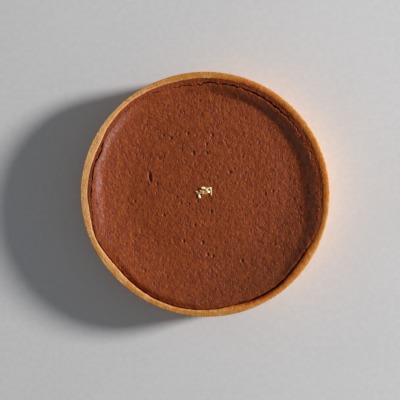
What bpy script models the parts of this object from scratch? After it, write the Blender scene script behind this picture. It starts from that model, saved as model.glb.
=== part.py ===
"""A baked chocolate cheesecake in a straight-sided pastry shell, with one flake of gold leaf.

Lengths are metres and +Z is up. The origin is the middle of the flat underside. Seen from
above, +X is the right of the cake and +Y its far side. Angles are measured from +X.
"""

import math
import random

import bmesh
import bpy
from mathutils import Vector, noise

MM = 0.001
HAIR = 0.01 * MM
CAKE_NAME = "chocolate_cheesecake"

# Overall sizes
CAKE_RADIUS = 90.0 * MM
SHELL_HEIGHT = 30.0 * MM
RIM_WALL = 4.5 * MM
SHELL_FLOOR = 4.0 * MM
FIT_GAP = 0.3 * MM
STEPS_ROUND = 144
MEAN_INSIDE = CAKE_RADIUS - RIM_WALL
MEAN_EDGE = MEAN_INSIDE - FIT_GAP

# Hand-pressed pastry is never a true circle: (waves round the cake, height, angle of a crest)
OUTLINE_WAVES = ((2, 0.80 * MM, -10.0), (3, 0.25 * MM, 55.0))
WALL_WAVES = (
    (1, 1.10 * MM, 195.0),
    (2, 0.20 * MM, 64.0),
    (4, 0.30 * MM, -5.0),
    (5, 0.24 * MM, 18.0),
)
RIM_ROUNDING = 0.7 * MM
FOOT_ROUNDING = 2.2 * MM
ROUNDING_SHOULDER = 0.3
RIM_UNEVENNESS = 0.25 * MM
RIM_BUMP_LENGTH = 16.0 * MM
SIDE_TOP = 27.0 * MM
SIDE_UNEVENNESS = 0.35 * MM
SIDE_BUMP_LENGTH = 14.0 * MM

# The baked top: a lip stuck to the pastry, a crack, a slope and a sunken middle
SUNK_SIDE = 62.0
LIP_DROP = 1.5 * MM
LIP_DROP_SWING = 0.7 * MM
CRACK_INSET = 1.5 * MM
CRACK_INSET_SWING = 3.1 * MM
CRACK_SPREAD = 0.8
CRACK_HALF_WIDTH = 0.65 * MM
CRACK_DEPTH = 1.7 * MM
CRACK_JAG = (0.25 * MM, 0.9 * MM)
CRACK_JAG_LENGTH = 4.0 * MM
LOOSE_SIDE = 270.0
LOOSE_EDGE_DROP = 0.9 * MM
LOOSE_EDGE_SPREAD = 0.9
SLOPE_WIDTH = 8.0 * MM
FOOT_RADIUS = 76.0 * MM
FOOT_HEIGHT = 25.4 * MM
DISH_DEPTH = 2.1 * MM
MIDDLE_TILT = 0.9 * MM
SWELL = 0.18 * MM
SWELL_LENGTH = 22.0 * MM

# Rings of the filling's mesh, by how far in from its edge they lie on a cake of mean size
MEAN_CRACK_INSET = 2.6 * MM
MEAN_FOOT_INSET = 10.6 * MM
SLOPE_RINGS = 5
MIDDLE_RINGS = 7

# The burst bubbles, and the one long slit left of the middle
PIT_SEED = 7
PIT_COUNT = 26
PIT_RADIUS = (0.55 * MM, 0.95 * MM)
PIT_FIELD_RADIUS = 66.0 * MM
PIT_CLEAR_RADIUS = 13.0 * MM
PIT_SPACING = 5.0 * MM
PIT_STRETCH = 1.3
PIT_DEPTH = 0.9
PIT_RISE = 0.15
SLIT_PLACE = (-39.6 * MM, 12.2 * MM)
SLIT_SIZE = (0.75 * MM, 2.9 * MM, 1.1 * MM)
SLIT_TURN = 8.0

# The gold leaf: lobes and tears as capsules (from x, y, to x, y, radius), in millimetres
LEAF_LOBES = (
    (-2.2, 4.5, 1.0, 4.1, 0.85),
    (1.0, 4.1, 3.4, 4.5, 0.85),
    (1.0, 4.1, 0.6, 1.4, 0.95),
    (-3.1, 2.0, 0.6, 1.0, 1.15),
    (-1.6, 0.6, -0.3, 0.4, 0.95),
    (0.6, 1.4, 3.9, 2.0, 0.90),
    (3.9, 2.0, 4.4, -1.7, 0.50),
    (3.4, 4.5, 4.0, 2.2, 0.45),
    (-4.6, 0.6, -3.0, 1.2, 0.85),
    (-5.5, 0.2, -4.2, -2.7, 0.95),
    (-6.7, 2.0, -5.3, 0.3, 0.75),
)
LEAF_TEARS = (
    (-1.2, 2.9, -0.5, 2.8, 0.45),
    (2.2, 3.1, 2.6, 3.0, 0.55),
    (-4.7, 1.9, -4.2, 1.5, 0.40),
)
LEAF_GRID = 0.42 * MM
LEAF_THICKNESS = 0.16 * MM
LEAF_LIFT = 0.42 * MM
LEAF_CRUMPLE = 0.85 * MM
LEAF_FOLD_LENGTH = 2.4 * MM
LEAF_CREASE_SHARE = 0.4
LEAF_CREASE_LENGTH = 1.1 * MM
LEAF_RAGGEDNESS = 0.32
LEAF_RAG_LENGTH = 1.2
LEAF_REACH = 7.6 * MM


def waves(angle, table):
    """The sum of cosine waves round the cake."""
    return sum(size * math.cos(count * (angle - math.radians(crest))) for count, size, crest in table)


def smooth(share):
    """Eases from 0 to 1 with no corner at either end."""
    share = min(1.0, max(0.0, share))
    return share * share * (3.0 - 2.0 * share)


def between(value, stations, results):
    """Straight-line interpolation along a short list of stations."""
    for start, end, first, last in zip(stations, stations[1:], results, results[1:]):
        if value <= end:
            return first + (last - first) * (value - start) / (end - start)
    return results[-1]


def rough(x, y, z, length):
    """Smooth noise from about -1 to 1 whose bumps are about this long."""
    return noise.noise(Vector((x / length, y / length, z / length)))


# Pastry shell

def shell_outside(angle):
    return CAKE_RADIUS + waves(angle, OUTLINE_WAVES)


def shell_inside(angle):
    return shell_outside(angle) - RIM_WALL - waves(angle, WALL_WAVES)


def shell_profile():
    """Half a section of the shell, from the middle of its floor, over the rim, to its underside."""
    inside, outside, top = MEAN_INSIDE, CAKE_RADIUS, SHELL_HEIGHT
    rim_shoulder = ROUNDING_SHOULDER * RIM_ROUNDING
    foot_shoulder = ROUNDING_SHOULDER * FOOT_ROUNDING
    return (
        (0.0, SHELL_FLOOR),
        (inside / 2.0, SHELL_FLOOR),
        (inside, SHELL_FLOOR),
        (inside, top - RIM_ROUNDING),
        (inside + rim_shoulder, top - rim_shoulder),
        (inside + RIM_ROUNDING, top),
        (outside - RIM_ROUNDING, top),
        (outside - rim_shoulder, top - rim_shoulder),
        (outside, top - RIM_ROUNDING),
        (outside, top * 2.0 / 3.0),
        (outside, top / 3.0),
        (outside, FOOT_ROUNDING),
        (outside - foot_shoulder, foot_shoulder),
        (outside - FOOT_ROUNDING, 0.0),
        (outside / 2.0, 0.0),
        (0.0, 0.0),
    )


def place_shell_point(radius, angle, height):
    """Moves a point of the turned shell to where the hand-pressed shell has it."""
    outside = shell_outside(angle)
    true_radius = between(radius, (0.0, MEAN_INSIDE, CAKE_RADIUS), (0.0, shell_inside(angle), outside))
    x, y = outside * math.cos(angle), outside * math.sin(angle)
    if height > SHELL_HEIGHT - RIM_ROUNDING - HAIR:
        height += RIM_UNEVENNESS * (rough(x, y, 0.0, RIM_BUMP_LENGTH) - 1.0)
    if radius > MEAN_INSIDE + HAIR and HAIR < height < SIDE_TOP:
        true_radius += SIDE_UNEVENNESS * rough(x, y, height, SIDE_BUMP_LENGTH)
    return true_radius, height


# Chocolate filling

def filling_edge(angle):
    return shell_inside(angle) - FIT_GAP


def crack_inset(angle):
    """How far in from the filling's edge the crack runs: widest on the side that sank most."""
    swing = max(0.0, math.cos(CRACK_SPREAD * turn_from(angle, SUNK_SIDE))) ** 2
    x, y = CAKE_RADIUS * math.cos(angle), CAKE_RADIUS * math.sin(angle)
    jag = CRACK_JAG[0] + (CRACK_JAG[1] - CRACK_JAG[0]) * swing
    return CRACK_INSET + CRACK_INSET_SWING * swing + jag * rough(x, y, 0.0, CRACK_JAG_LENGTH)


def turn_from(angle, side):
    """The angle from a side of the cake, between minus and plus half a turn."""
    return (angle - math.radians(side) + math.pi) % (2.0 * math.pi) - math.pi


def lip_height(angle):
    """The raised edge of the filling, just under the pastry's rim."""
    return SHELL_HEIGHT - LIP_DROP + LIP_DROP_SWING * math.cos(turn_from(angle, SUNK_SIDE))


def outer_lip_height(angle):
    """Outside the crack: level where the filling still holds the pastry, low where it came loose."""
    loose = smooth(0.5 + LOOSE_EDGE_SPREAD * math.cos(turn_from(angle, LOOSE_SIDE)))
    return lip_height(angle) - LOOSE_EDGE_DROP * loose


def middle_height(x, y):
    """The sunken middle: a shallow dish, tilted down to the side that sank most, with low swells."""
    toward = math.radians(SUNK_SIDE)
    share = (x * x + y * y) / FOOT_RADIUS**2
    tilt = MIDDLE_TILT * (x * math.cos(toward) + y * math.sin(toward)) / FOOT_RADIUS
    swell = SWELL * rough(x, y, 0.0, SWELL_LENGTH)
    return FOOT_HEIGHT - DISH_DEPTH * (1.0 - share) - tilt + swell


def top_height(radius, angle):
    """The height of the filling's top."""
    x, y = radius * math.cos(angle), radius * math.sin(angle)
    inset = filling_edge(angle) - radius
    crack = crack_inset(angle)
    lip = lip_height(angle)
    if inset < crack:
        side = outer_lip_height(angle)
    else:
        down = min(1.0, (inset - crack) / SLOPE_WIDTH)
        middle = middle_height(x, y)
        side = middle + (lip - middle) * (1.0 - down) ** 2
    groove = max(0.0, 1.0 - abs(inset - crack) / CRACK_HALF_WIDTH)
    return side - CRACK_DEPTH * groove


def filling_profile():
    """Half a section of the filling at its mean size, from the middle of its top, round its edge."""
    foot = MEAN_EDGE - MEAN_FOOT_INSET
    crack = MEAN_EDGE - MEAN_CRACK_INSET
    lip = crack - CRACK_HALF_WIDTH
    rings = [foot * ring / MIDDLE_RINGS for ring in range(MIDDLE_RINGS)]
    rings += [foot + (lip - foot) * ring / SLOPE_RINGS for ring in range(SLOPE_RINGS + 1)]
    rings += [crack, crack + CRACK_HALF_WIDTH, MEAN_EDGE]
    top = [(radius, SHELL_HEIGHT) for radius in rings]
    bottom = SHELL_FLOOR + FIT_GAP
    return top + [(MEAN_EDGE, bottom), (MEAN_EDGE / 2.0, bottom), (0.0, bottom)]


def place_filling_point(radius, angle, height):
    """Moves a point of the turned filling to where the baked filling has it."""
    edge, crack = filling_edge(angle), crack_inset(angle)
    stations = (
        0.0,
        MEAN_CRACK_INSET - CRACK_HALF_WIDTH,
        MEAN_CRACK_INSET + CRACK_HALF_WIDTH,
        MEAN_FOOT_INSET,
        MEAN_EDGE,
    )
    insets = (0.0, crack - CRACK_HALF_WIDTH, crack + CRACK_HALF_WIDTH, crack + SLOPE_WIDTH, edge)
    true_radius = edge - between(MEAN_EDGE - radius, stations, insets)
    if height < SHELL_FLOOR + FIT_GAP + HAIR:
        return true_radius, height
    return true_radius, top_height(true_radius, angle)


def pit_places():
    """Burst bubbles scattered over the middle with a seeded draw, none under the gold leaf."""
    draw = random.Random(PIT_SEED)
    places = []
    while len(places) < PIT_COUNT:
        radius = PIT_FIELD_RADIUS * math.sqrt(draw.random())
        angle = draw.uniform(0.0, 2.0 * math.pi)
        place = Vector((radius * math.cos(angle), radius * math.sin(angle)))
        taken = [Vector(SLIT_PLACE)] + [other for other, _ in places]
        apart = all((place - other).length > PIT_SPACING for other in taken)
        if radius > PIT_CLEAR_RADIUS and apart:
            places.append((place, draw.uniform(*PIT_RADIUS)))
    return places


# Gold leaf

def capsule_depth(x, y, capsule):
    """How deep a point lies inside a capsule: the radius less the distance to its middle line."""
    ax, ay, bx, by, radius = capsule
    along = Vector((bx - ax, by - ay))
    start = Vector((x - ax, y - ay))
    share = min(1.0, max(0.0, start.dot(along) / along.length_squared))
    return radius - (start - along * share).length


def leaf_depth(x, y):
    """Above 0 on the leaf, below 0 off it. The ragged edge comes from fine noise."""
    x, y = x / MM, y / MM
    on = max(capsule_depth(x, y, lobe) for lobe in LEAF_LOBES)
    torn = max(capsule_depth(x, y, tear) for tear in LEAF_TEARS)
    return min(on, -torn) + LEAF_RAGGEDNESS * rough(x, y, 0.0, LEAF_RAG_LENGTH)


def move_to_edge(vertex):
    """Slides a point of the sheet's edge to where the leaf ends, so the grid's steps don't show."""
    x, y, step = vertex.co.x, vertex.co.y, 0.05 * MM
    depth = leaf_depth(x, y)
    slope = Vector((leaf_depth(x + step, y) - depth, leaf_depth(x, y + step) - depth)) / step
    if slope.length > 0.0:
        move = -depth / slope.length_squared * slope
        reach = 0.45 * LEAF_GRID
        if move.length > reach:
            move *= reach / move.length
        vertex.co.x += move.x
        vertex.co.y += move.y


def leaf_height(x, y):
    """The underside of the crumpled leaf."""
    fold = abs(rough(x, y, 0.0, LEAF_FOLD_LENGTH))
    crease = LEAF_CREASE_SHARE * abs(rough(x, y, LEAF_REACH, LEAF_CREASE_LENGTH))
    return middle_height(x, y) + LEAF_LIFT + LEAF_CRUMPLE * min(1.0, fold + crease)


# Building

def clear_scene():
    for old in list(bpy.data.objects):
        bpy.data.objects.remove(old, do_unlink=True)


def new_collection(name, hidden=False):
    collection = bpy.data.collections.new(name)
    collection.hide_render = hidden
    bpy.context.scene.collection.children.link(collection)
    return collection


def food_material(name, colour, roughness, metallic=0.0):
    material = bpy.data.materials.new(name)
    material.use_nodes = True
    shader = material.node_tree.nodes["Principled BSDF"]
    shader.inputs["Base Color"].default_value = (*colour, 1.0)
    shader.inputs["Roughness"].default_value = roughness
    shader.inputs["Metallic"].default_value = metallic
    return material


def turned(name, profile, place, collection, material):
    """Turns a profile round +Z with a Screw modifier, then puts each point in its true place."""
    mesh = bpy.data.meshes.new(name + "_profile")
    edges = [(index, index + 1) for index in range(len(profile) - 1)]
    mesh.from_pydata([(radius, 0.0, height) for radius, height in profile], edges, [])
    outline = bpy.data.objects.new(name + "_profile", mesh)
    collection.objects.link(outline)
    screw = outline.modifiers.new("turn", "SCREW")
    screw.axis = "Z"
    screw.steps = screw.render_steps = STEPS_ROUND
    screw.use_merge_vertices = True
    screw.merge_threshold = HAIR
    bpy.context.view_layer.update()
    graph = bpy.context.evaluated_depsgraph_get()
    body = bpy.data.objects.new(name, bpy.data.meshes.new_from_object(outline.evaluated_get(graph)))
    collection.objects.link(body)
    bpy.data.objects.remove(outline, do_unlink=True)
    shape = bmesh.new()
    shape.from_mesh(body.data)
    bmesh.ops.remove_doubles(shape, verts=shape.verts, dist=HAIR)
    for vertex in shape.verts:
        x, y, height = vertex.co
        angle = math.atan2(y, x)
        radius, height = place(math.hypot(x, y), angle, height)
        vertex.co = (radius * math.cos(angle), radius * math.sin(angle), height)
    bmesh.ops.triangulate(shape, faces=shape.faces)
    bmesh.ops.recalc_face_normals(shape, faces=shape.faces)
    shape.to_mesh(body.data)
    shape.free()
    finish_surface(body, material)
    return body


def finish_surface(body, material):
    body.data.name = body.name
    body.data.materials.clear()
    body.data.materials.append(material)
    body.data.shade_smooth()
    body.data.set_sharp_from_angle(angle=math.radians(40.0))


def scoop(name, place, size, turn, collection):
    """An egg-shaped cutter whose middle lies a little under the filling's top."""
    shape = bmesh.new()
    bmesh.ops.create_icosphere(shape, subdivisions=1, radius=1.0)
    bmesh.ops.scale(shape, verts=shape.verts, vec=size)
    mesh = bpy.data.meshes.new(name)
    shape.to_mesh(mesh)
    shape.free()
    cutter = bpy.data.objects.new(name, mesh)
    x, y = place
    cutter.location = (x, y, middle_height(x, y) + PIT_RISE * size[2])
    cutter.rotation_euler.z = turn
    cutter.hide_render = True
    cutter.display_type = "WIRE"
    collection.objects.link(cutter)


def make_shell(collection):
    material = food_material("baked_pastry", (0.50, 0.26, 0.09), 0.7)
    return turned("pastry_shell", shell_profile(), place_shell_point, collection, material)


def make_filling(collection):
    material = food_material("chocolate_custard", (0.20, 0.05, 0.02), 0.45)
    filling = turned("chocolate_filling", filling_profile(), place_filling_point, collection, material)
    cutters = new_collection("filling_cutters", hidden=True)
    scoop("slit_cutter", SLIT_PLACE, SLIT_SIZE, math.radians(SLIT_TURN), cutters)
    for number, (place, radius) in enumerate(pit_places()):
        size = (radius, PIT_STRETCH * radius, PIT_DEPTH * radius)
        scoop(f"pit_cutter_{number:02d}", place, size, 0.0, cutters)
    bake = filling.modifiers.new("burst_bubbles", "BOOLEAN")
    bake.operation = "DIFFERENCE"
    bake.operand_type = "COLLECTION"
    bake.collection = cutters
    bake.solver = "EXACT"
    return filling


def make_leaf(collection):
    """A crumpled sheet cut from a fine grid, given its thickness straight up."""
    count = round(2.0 * LEAF_REACH / LEAF_GRID)
    shape = bmesh.new()
    bmesh.ops.create_grid(shape, x_segments=count, y_segments=count, size=LEAF_REACH)
    bmesh.ops.triangulate(shape, faces=shape.faces)
    nearly = -0.3 * LEAF_GRID / MM
    off = [face for face in shape.faces if min(leaf_depth(*v.co[:2]) for v in face.verts) < nearly]
    bmesh.ops.delete(shape, geom=off, context="FACES")
    drop_pinched_points(shape)
    keep_largest_patch(shape)
    for vertex in shape.verts:
        if vertex.is_boundary:
            move_to_edge(vertex)
        vertex.co.z = leaf_height(vertex.co.x, vertex.co.y)
    raised = bmesh.ops.extrude_face_region(shape, geom=shape.faces[:])["geom"]
    points = [item for item in raised if isinstance(item, bmesh.types.BMVert)]
    bmesh.ops.translate(shape, verts=points, vec=(0.0, 0.0, LEAF_THICKNESS))
    bmesh.ops.recalc_face_normals(shape, faces=shape.faces)
    mesh = bpy.data.meshes.new("gold_leaf")
    shape.to_mesh(mesh)
    shape.free()
    leaf = bpy.data.objects.new("gold_leaf", mesh)
    collection.objects.link(leaf)
    finish_surface(leaf, food_material("gold_leaf", (0.83, 0.58, 0.20), 0.25, 1.0))
    return leaf


def drop_pinched_points(shape):
    """Removes faces where two parts of the sheet meet in one point only, until none does."""
    while True:
        pinched = [v for v in shape.verts if sum(e.is_boundary for e in v.link_edges) > 2]
        if not pinched:
            break
        faces = {vertex.link_faces[0] for vertex in pinched if vertex.link_faces}
        bmesh.ops.delete(shape, geom=list(faces), context="FACES")
    loose = [vertex for vertex in shape.verts if not vertex.link_faces]
    bmesh.ops.delete(shape, geom=loose, context="VERTS")


def keep_largest_patch(shape):
    """Drops scraps of the sheet that the tears cut off."""
    left, patches = set(shape.faces), []
    while left:
        patch, edge = set(), [left.pop()]
        while edge:
            face = edge.pop()
            patch.add(face)
            near = {other for side in face.edges for other in side.link_faces} & left
            left -= near
            edge.extend(near)
        patches.append(patch)
    patches.sort(key=len)
    for patch in patches[:-1]:
        bmesh.ops.delete(shape, geom=list(patch), context="FACES")


def build_cake():
    clear_scene()
    cake = new_collection(CAKE_NAME)
    make_shell(cake)
    make_filling(cake)
    make_leaf(cake)


build_cake()
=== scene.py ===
# %% [markdown]
# # A baked chocolate cheesecake with gold leaf
#
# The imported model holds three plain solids: the pastry shell, the chocolate filling and the
# gold leaf. This lesson dresses them with finer meshes and procedural materials. Every mesh
# stays in the place and the size of its solid, so what collides is also what is seen.

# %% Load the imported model
import math
import random

import bpy
import numpy as np
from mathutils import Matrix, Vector, kdtree, noise


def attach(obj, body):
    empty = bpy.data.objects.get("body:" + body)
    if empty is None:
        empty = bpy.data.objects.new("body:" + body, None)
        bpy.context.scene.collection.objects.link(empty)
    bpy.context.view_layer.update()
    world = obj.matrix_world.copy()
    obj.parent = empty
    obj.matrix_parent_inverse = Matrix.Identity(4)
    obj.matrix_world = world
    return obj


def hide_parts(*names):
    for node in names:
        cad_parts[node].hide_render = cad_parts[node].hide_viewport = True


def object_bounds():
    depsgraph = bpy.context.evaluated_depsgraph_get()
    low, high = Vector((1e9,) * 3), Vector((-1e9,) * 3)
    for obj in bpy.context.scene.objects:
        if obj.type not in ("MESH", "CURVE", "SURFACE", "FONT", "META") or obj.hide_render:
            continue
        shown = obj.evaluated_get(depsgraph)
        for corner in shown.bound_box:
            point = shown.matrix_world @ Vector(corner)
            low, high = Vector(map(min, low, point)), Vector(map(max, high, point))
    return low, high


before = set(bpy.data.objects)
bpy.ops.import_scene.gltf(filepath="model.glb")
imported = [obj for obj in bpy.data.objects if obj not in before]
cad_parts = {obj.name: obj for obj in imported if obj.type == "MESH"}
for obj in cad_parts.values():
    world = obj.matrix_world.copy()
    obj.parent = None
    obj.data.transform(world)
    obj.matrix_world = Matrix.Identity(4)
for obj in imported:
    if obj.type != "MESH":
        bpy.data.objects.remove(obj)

cad_low, cad_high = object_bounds()
print("solids:", sorted(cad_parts))
print("size in mm:", [round(1000.0 * side, 1) for side in cad_high - cad_low])

# %% [markdown]
# ## Values that change round the cake
#
# Nothing on a hand-made cake is the same all the way round. A short table says it best: it
# gives, at some places round the cake, what a baker would measure there with a ruler. A
# smooth curve through the rows gives the values in between. Angles are in degrees from +X,
# counter-clockwise as seen from above.

# %% A smooth curve through the rows of a table


def ease(share):
    """From 0 to 1 with no corner at either end."""
    share = np.clip(share, 0.0, 1.0)
    return share * share * (3.0 - 2.0 * share)


def reading(angle, rows, column=1):
    """One column of a table at each angle, on a smooth curve that passes through every row."""
    places = np.array([row[0] for row in rows], float)
    values = np.array([row[column] for row in rows], float)
    places = np.concatenate((places[-2:] - 360.0, places, places[:2] + 360.0))
    values = np.concatenate((values[-2:], values, values[:2]))
    slopes = np.gradient(values, places)
    degrees = np.degrees(angle) % 360.0
    before = np.searchsorted(places, degrees, "right") - 1
    span = places[before + 1] - places[before]
    share = (degrees - places[before]) / span
    first = values[before] + share * span * slopes[before]
    second = values[before + 1] - (1.0 - share) * span * slopes[before + 1]
    return first + ease(share) * (second - first)


def turn_from(angle, side):
    """The angle from one side of the cake, between minus and plus half a turn."""
    return (angle - math.radians(side) + math.pi) % (2.0 * math.pi) - math.pi


turn = np.linspace(0.0, 2.0 * math.pi, 361)
ruler = ((0, 1.0), (90, 2.0), (180, 1.0), (270, 0.0))
print("between two rows:", round(float(reading(np.radians(45.0), ruler)), 2))

# %% [markdown]
# ## Sizes
#
# A cake is mostly a few circles, so a few driving sizes describe it. The solids have the same
# radius, heights and outer waves.
#
# Pastry pressed into a ring by hand is never a true circle. Adding two cosine waves to the
# radius gives the outside an honest unevenness that still closes on itself after one turn.
# The inside is more irregular, so the width of the rim comes from a table. One side of the
# oven was hotter, and several later steps ask how hot it was at an angle.

# %% The pastry's sizes
MM = 0.001
CAKE_RADIUS = 90.0 * MM
RIM_HEIGHT = 30.0 * MM
FLOOR_THICKNESS = 4.0 * MM
FIT_GAP = 0.3 * MM
# waves in a turn, size, azimuth of a crest
OUTLINE_WAVES = ((2, 0.80 * MM, -10.0), (3, 0.25 * MM, 55.0))
RIM_ROWS = (
    # azimuth, width of the rim in mm
    (0, 5.2), (20, 5.5), (40, 5.5), (60, 5.2), (76, 4.9), (95, 4.6), (108, 4.5), (120, 3.7),
    (132, 3.4), (142, 4.1), (149, 4.8), (154.5, 5.8), (160, 5.5), (168, 5.6), (181, 5.5),
    (190, 5.5), (198, 4.3), (205, 4.2), (215, 5.5), (226, 5.2), (235, 4.5), (247, 4.0),
    (262, 4.2), (275, 5.1), (285, 5.9), (293, 5.1), (301, 4.7), (310, 4.7), (320, 5.8),
    (328, 5.9), (335, 5.2), (343, 4.3), (351, 4.8),
)
HOT_SIDE = 12.0
HOT_LEVEL = 0.35
HOT_SWING = 0.75


def pastry_outside(angle):
    waves = (size * np.cos(count * (angle - math.radians(crest))) for count, size, crest in OUTLINE_WAVES)
    return CAKE_RADIUS + sum(waves)


def pastry_inside(angle):
    return pastry_outside(angle) - MM * reading(angle, RIM_ROWS)


def hot(angle):
    """From 0 on the cool side of the oven to 1 on the hot side."""
    return ease(HOT_LEVEL + HOT_SWING * np.cos(turn_from(angle, HOT_SIDE)))


wall = pastry_outside(turn) - pastry_inside(turn)
print(f"pastry wall: {wall.min() / MM:.1f} to {wall.max() / MM:.1f} mm")

# %% [markdown]
# ## The camera
#
# The cake is seen from straight above, a little off its axis. The camera comes early, because
# each later step is judged through it. A long lens far away keeps the rim round, with little
# of the inner wall opened up by perspective.

# %% The camera, straight above
VIEW_WIDTH = 291.0 * MM
VIEW_CENTRE = (-4.02 * MM, -4.30 * MM)
LENS = 80.0
SENSOR = 36.0

camera_data = bpy.data.cameras.new("overhead_camera")
camera_data.lens = LENS
camera_data.sensor_width = SENSOR
camera_data.sensor_fit = "HORIZONTAL"
camera = bpy.data.objects.new("overhead_camera", camera_data)
camera_height = RIM_HEIGHT + VIEW_WIDTH * LENS / SENSOR
camera.location = (*VIEW_CENTRE, camera_height)
bpy.context.scene.collection.objects.link(camera)
bpy.context.scene.camera = camera
print(f"camera {camera_height:.2f} m above the floor")

# %% [markdown]
# ## Meshes made of rings
#
# Both the pastry and the filling are round, so their meshes are stacks of rings. A Screw
# modifier gives every ring the same number of points, which crowds them in the middle. Here
# each ring has as many points as its length needs, and neighbours are zipped together. The
# faces stay even, so a bubble in the middle is as crisp as one at the edge.

# %% Zip rings into a skin


def zip_rings(first, second):
    """Faces between two rings of point numbers. A ring of one point is a pole."""
    n, m = len(first), len(second)
    if n == m:
        return [(first[i], second[i], second[(i + 1) % n], first[(i + 1) % n]) for i in range(n)]
    first_steps = n if n > 1 else 0
    second_steps = m if m > 1 else 0
    faces, i, j = [], 0, 0
    while i < first_steps or j < second_steps:
        second_is_next = j < second_steps and (j + 1) * n <= (i + 1) * m
        if second_is_next or i == first_steps:
            faces.append((first[i % n], second[j], second[(j + 1) % m]))
            j += 1
        else:
            faces.append((first[i], second[j % m], first[(i + 1) % n]))
            i += 1
    return faces


def new_piece(name, points, faces):
    mesh = bpy.data.meshes.new(name)
    mesh.from_pydata(points.tolist(), [], faces)
    mesh.shade_smooth()
    piece = bpy.data.objects.new(name, mesh)
    bpy.context.scene.collection.objects.link(piece)
    return piece


def skin(name, rings):
    """An object whose faces join each ring of points to the next, from one pole to the other."""
    numbers, start = [], 0
    for ring in rings:
        numbers.append(range(start, start + len(ring)))
        start += len(ring)
    faces = []
    for first, second in zip(numbers, numbers[1:]):
        faces += zip_rings(first, second)
    piece = new_piece(name, np.vstack(rings), faces)
    mesh = piece.data
    sides = np.empty(len(mesh.loops), np.int32)
    mesh.loops.foreach_get("edge_index", sides)
    open_edges = np.count_nonzero(np.bincount(sides, minlength=len(mesh.edges)) != 2)
    print(f"{name}: {len(mesh.vertices)} points, {len(mesh.polygons)} faces, {open_edges} open edges")
    return piece


def ring_angles(count):
    return np.arange(count) * 2.0 * math.pi / count


def angle_and_radius(points):
    return np.arctan2(points[:, 1], points[:, 0]), np.hypot(points[:, 0], points[:, 1])


def polar(radius, angle, height):
    """Points of a ring from its radius and height at each angle."""
    one = np.ones_like(angle)
    return np.column_stack((radius * np.cos(angle), radius * np.sin(angle), height * one))


def disc_rings(radius_at, height, counts, full_count):
    """Rings of a flat disc, from its middle outward. A ring with the full count is its border."""
    rings = [np.array([[0.0, 0.0, height]])]
    for count in counts:
        angle = ring_angles(count)
        rings.append(polar(radius_at(angle) * count / full_count, angle, height))
    return rings


def move_points(piece, points):
    piece.data.vertices.foreach_set("co", points.astype(np.float32).ravel())
    piece.data.update()


def store(piece, name, values):
    """Keeps one number for each point on the mesh, for the material to read."""
    layer = piece.data.attributes.new(name, "FLOAT", "POINT")
    layer.data.foreach_set("value", np.asarray(values, np.float32))


print("faces between rings of 6 and 12 points:", len(zip_rings(range(6), range(6, 18))))

# %% [markdown]
# ## Noise
#
# Food has no straight edges. Smooth noise, read at each point's own place, moves points by
# fractions of a millimetre. It has no seam, and it is the same on every run. The shift keeps
# one noise from lying over another.

# %% Two noise helpers


def rough(points, length, shift=0.0):
    """Smooth noise at each point, about -1 to 1, whose bumps are about this long."""
    places = np.asarray(points, float) / length + shift
    return np.array([noise.noise(place) for place in places.tolist()])


def uneven(points, noises):
    """The sum of several noises, each with the length of a bump, its height and a shift."""
    return sum(height * rough(points, length, shift) for length, height, shift in noises)


rim_line = polar(CAKE_RADIUS, turn, 0.0)
print("noise along the rim:", np.round(rough(rim_line, 12.0 * MM)[:5], 2))

# %% [markdown]
# ## The top of the filling
#
# A baked cheesecake rises in the oven and sinks as it cools. Its middle is level, then comes
# a wide shallow bowl, and then a steeper slope up to the lip. It sank most on the far right
# side, where the slope starts with a crease. Along the near side the filling let go of the
# pastry, so its edge is rounded down instead of pulled up.

# %% Heights of the top
TOP_ROWS = (
    # azimuth, radius where the bowl starts, its rise, the slope's rise and width (mm), its power
    (0, 60, 1.5, 2.0, 13.0, 0.95),
    (20, 62, 1.2, 2.6, 11.6, 1.00),
    (40, 63, 1.0, 2.9, 9.4, 0.90),
    (58, 65, 0.7, 3.3, 8.2, 0.70),
    (72, 65, 0.6, 3.7, 9.4, 0.80),
    (82, 65, 0.6, 3.0, 9.0, 0.90),
    (92, 64, 0.6, 2.0, 8.0, 0.90),
    (115, 60, 0.9, 2.6, 8.5, 0.90),
    (140, 55, 2.1, 1.5, 6.6, 0.90),
    (160, 53, 3.0, 0.9, 7.5, 0.85),
    (182, 53, 3.1, 0.9, 9.5, 0.85),
    (205, 52, 3.0, -0.2, 8.0, 0.90),
    (225, 50, 2.6, -1.5, 5.0, 1.40),
    (250, 50, 2.5, -1.8, 5.5, 1.50),
    (280, 52, 2.4, -0.8, 5.5, 1.60),
    (305, 54, 2.2, 0.2, 6.0, 1.40),
    (320, 56, 1.9, 1.2, 8.0, 1.20),
    (340, 58, 1.8, 1.6, 9.5, 1.10),
)
BOWL_START, BOWL_RISE, SLOPE_RISE, SLOPE_WIDTH, SLOPE_POWER = range(1, 6)
CENTRE_HEIGHT = 23.9 * MM
BOWL_END = 76.0 * MM
BOWL_POWER = 1.5
SUNK_SIDE = 62.0
MIDDLE_TILT = 0.6 * MM
SWELL = 0.18 * MM
SWELL_LENGTH = 22.0 * MM


def middle_height(points):
    """Level at the centre and a shallow bowl outside, tilted to the side that sank most."""
    x, y = points[:, 0], points[:, 1]
    angle, radius = angle_and_radius(points)
    start = MM * reading(angle, TOP_ROWS, BOWL_START)
    share = np.maximum((radius - start) / (BOWL_END - start), 0.0)
    bowl = MM * reading(angle, TOP_ROWS, BOWL_RISE) * share**BOWL_POWER
    toward = math.radians(SUNK_SIDE)
    tilt = MIDDLE_TILT * (x * math.cos(toward) + y * math.sin(toward)) / BOWL_END
    flat = np.column_stack((x, y, np.zeros_like(x)))
    return CENTRE_HEIGHT + bowl - tilt + SWELL * rough(flat, SWELL_LENGTH)


def slope_width(angle):
    return MM * reading(angle, TOP_ROWS, SLOPE_WIDTH)


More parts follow.
